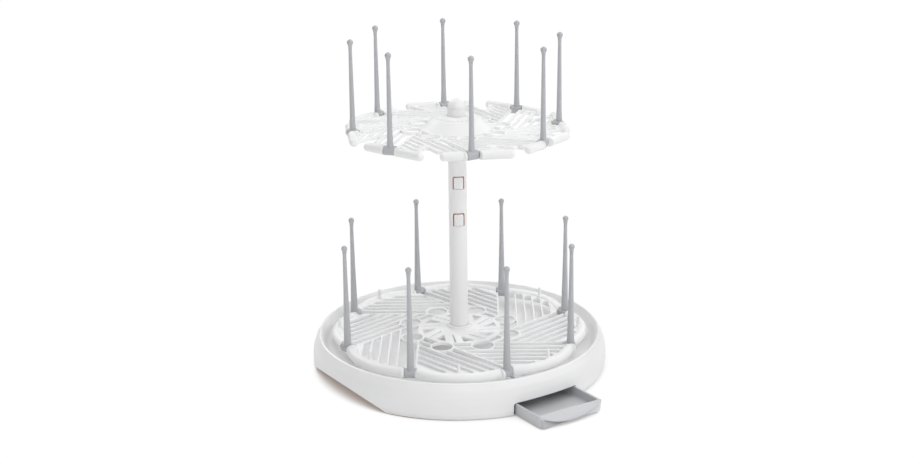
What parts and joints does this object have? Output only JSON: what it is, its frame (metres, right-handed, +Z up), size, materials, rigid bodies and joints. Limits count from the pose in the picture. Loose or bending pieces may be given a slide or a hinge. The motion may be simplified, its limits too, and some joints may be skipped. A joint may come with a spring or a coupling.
{
  "type": "drying rack",
  "caption": "Rotating drying rack with folding ball-tipped pegs on stacked pinwheel trays, a round drip base with a slide-out drawer, and a height-adjustable upper tray.",
  "frame": {"origin": "on the counter plane, on the post's axis, midway under the round base", "axes": "+Z up along the post, -Y towards the front, +X to the right as seen from the front"},
  "size_m": [0.2866, 0.3058, 0.3232],
  "materials": {
    "white_plastic": "satin moulded white polypropylene",
    "tray_plastic": "satin moulded white polypropylene",
    "peg_plastic": "soft satin grey",
    "grey_plastic": "soft satin grey",
    "bearing_plastic": "natural acetal",
    "foot_rubber": "matt",
    "screw_steel": "zinc plated"
  },
  "bodies": {
    "base": {"base_shell": "white_plastic", "bottom_plate": "white_plastic", "rubber_feet": "foot_rubber", "base_screws": "screw_steel", "post_screw": "screw_steel", "post_tube": "white_plastic", "post_cap": "white_plastic", "lower_bearing_ring": "bearing_plastic"},
    "drawer": {"drawer": "grey_plastic"},
    "lower_tray": {"lower_tray": "tray_plastic"},
    "height_carriage": {"height_collar": "white_plastic", "collar_lock_ring": "white_plastic", "upper_bearing_ring": "bearing_plastic"},
    "upper_tray": {"upper_tray": "tray_plastic"},
    "height_tab_1": {"height_tab_1": "white_plastic"},
    "height_tab_2": {"height_tab_2": "white_plastic"},
    "height_tab_3": {"height_tab_3": "white_plastic"},
    "lower_peg_1": {"lower_peg_1": "peg_plastic"},
    "lower_peg_2": {"lower_peg_2": "peg_plastic"},
    "lower_peg_3": {"lower_peg_3": "peg_plastic"},
    "lower_peg_4": {"lower_peg_4": "peg_plastic"},
    "lower_peg_5": {"lower_peg_5": "peg_plastic"},
    "lower_peg_6": {"lower_peg_6": "peg_plastic"},
    "lower_peg_7": {"lower_peg_7": "peg_plastic"},
    "lower_peg_8": {"lower_peg_8": "peg_plastic"},
    "upper_peg_1": {"upper_peg_1": "peg_plastic"},
    "upper_peg_2": {"upper_peg_2": "peg_plastic"},
    "upper_peg_3": {"upper_peg_3": "peg_plastic"},
    "upper_peg_4": {"upper_peg_4": "peg_plastic"},
    "upper_peg_5": {"upper_peg_5": "peg_plastic"},
    "upper_peg_6": {"upper_peg_6": "peg_plastic"},
    "upper_peg_7": {"upper_peg_7": "peg_plastic"},
    "upper_peg_8": {"upper_peg_8": "peg_plastic"}
  },
  "joints": [
    {"name": "drawer_slide", "type": "slide", "parent": "base", "child": "drawer", "axis": [0.5621, -0.8271, 0], "range_m": [-0.032, 0.045]},
    {"name": "lower_tray_spin", "type": "hinge", "parent": "base", "child": "lower_tray", "pos_m": [0, 0, 0.0312], "axis": [0, 0, 1], "continuous": true},
    {"name": "tray_height_slide", "type": "slide", "parent": "base", "child": "height_carriage", "axis": [0, 0, 1], "range_m": [-0.073, 0]},
    {"name": "upper_tray_spin", "type": "hinge", "parent": "height_carriage", "child": "upper_tray", "pos_m": [0, 0, 0.2344], "axis": [0, 0, 1], "continuous": true},
    {"name": "tab_1_press", "type": "hinge", "parent": "base", "child": "height_tab_1", "pos_m": [0.001, -0.00814, 0.21395], "axis": [-0.9925, -0.1219, 0], "range_deg": [0, 6], "stiffness_Nm_per_rad": 0.05},
    {"name": "tab_2_press", "type": "hinge", "parent": "base", "child": "height_tab_2", "pos_m": [0.001, -0.00814, 0.17745], "axis": [-0.9925, -0.1219, 0], "range_deg": [0, 6], "stiffness_Nm_per_rad": 0.05},
    {"name": "tab_3_press", "type": "hinge", "parent": "base", "child": "height_tab_3", "pos_m": [0.001, -0.00814, 0.14095], "axis": [-0.9925, -0.1219, 0], "range_deg": [0, 6], "stiffness_Nm_per_rad": 0.05},
    {"name": "lower_peg_1_fold", "type": "hinge", "parent": "lower_tray", "child": "lower_peg_1", "pos_m": [-0.04497, -0.10584, 0.0312], "axis": [-1, 0.0091, 0], "range_deg": [0, 86]},
    {"name": "lower_peg_2_fold", "type": "hinge", "parent": "lower_tray", "child": "lower_peg_2", "pos_m": [0.04304, -0.10664, 0.0312], "axis": [-0.7135, -0.7007, 0], "range_deg": [0, 86]},
    {"name": "lower_peg_3_fold", "type": "hinge", "parent": "lower_tray", "child": "lower_peg_3", "pos_m": [0.10584, -0.04497, 0.0312], "axis": [-0.0091, -1, 0], "range_deg": [0, 86]},
    {"name": "lower_peg_4_fold", "type": "hinge", "parent": "lower_tray", "child": "lower_peg_4", "pos_m": [0.10664, 0.04304, 0.0312], "axis": [0.7007, -0.7135, 0], "range_deg": [0, 86]},
    {"name": "lower_peg_5_fold", "type": "hinge", "parent": "lower_tray", "child": "lower_peg_5", "pos_m": [0.04497, 0.10584, 0.0312], "axis": [1, -0.0091, 0], "range_deg": [0, 86]},
    {"name": "lower_peg_6_fold", "type": "hinge", "parent": "lower_tray", "child": "lower_peg_6", "pos_m": [-0.04304, 0.10664, 0.0312], "axis": [0.7135, 0.7007, 0], "range_deg": [0, 86]},
    {"name": "lower_peg_7_fold", "type": "hinge", "parent": "lower_tray", "child": "lower_peg_7", "pos_m": [-0.10584, 0.04497, 0.0312], "axis": [0.0091, 1, 0], "range_deg": [0, 86]},
    {"name": "lower_peg_8_fold", "type": "hinge", "parent": "lower_tray", "child": "lower_peg_8", "pos_m": [-0.10664, -0.04304, 0.0312], "axis": [-0.7007, 0.7135, 0], "range_deg": [0, 86]},
    {"name": "upper_peg_1_fold", "type": "hinge", "parent": "upper_tray", "child": "upper_peg_1", "pos_m": [0.01279, -0.09716, 0.2344], "axis": [-0.866, -0.5, 0], "range_deg": [0, 86]},
    {"name": "upper_peg_2_fold", "type": "hinge", "parent": "upper_tray", "child": "upper_peg_2", "pos_m": [0.07775, -0.05966, 0.2344], "axis": [-0.2588, -0.9659, 0], "range_deg": [0, 86]},
    {"name": "upper_peg_3_fold", "type": "hinge", "parent": "upper_tray", "child": "upper_peg_3", "pos_m": [0.09716, 0.01279, 0.2344], "axis": [0.5, -0.866, 0], "range_deg": [0, 86]},
    {"name": "upper_peg_4_fold", "type": "hinge", "parent": "upper_tray", "child": "upper_peg_4", "pos_m": [0.05966, 0.07775, 0.2344], "axis": [0.9659, -0.2588, 0], "range_deg": [0, 86]},
    {"name": "upper_peg_5_fold", "type": "hinge", "parent": "upper_tray", "child": "upper_peg_5", "pos_m": [-0.01279, 0.09716, 0.2344], "axis": [0.866, 0.5, 0], "range_deg": [0, 86]},
    {"name": "upper_peg_6_fold", "type": "hinge", "parent": "upper_tray", "child": "upper_peg_6", "pos_m": [-0.07775, 0.05966, 0.2344], "axis": [0.2588, 0.9659, 0], "range_deg": [0, 86]},
    {"name": "upper_peg_7_fold", "type": "hinge", "parent": "upper_tray", "child": "upper_peg_7", "pos_m": [-0.09716, -0.01279, 0.2344], "axis": [-0.5, 0.866, 0], "range_deg": [0, 86]},
    {"name": "upper_peg_8_fold", "type": "hinge", "parent": "upper_tray", "child": "upper_peg_8", "pos_m": [-0.05966, -0.07775, 0.2344], "axis": [-0.9659, 0.2588, 0], "range_deg": [0, 86]}
  ]
}
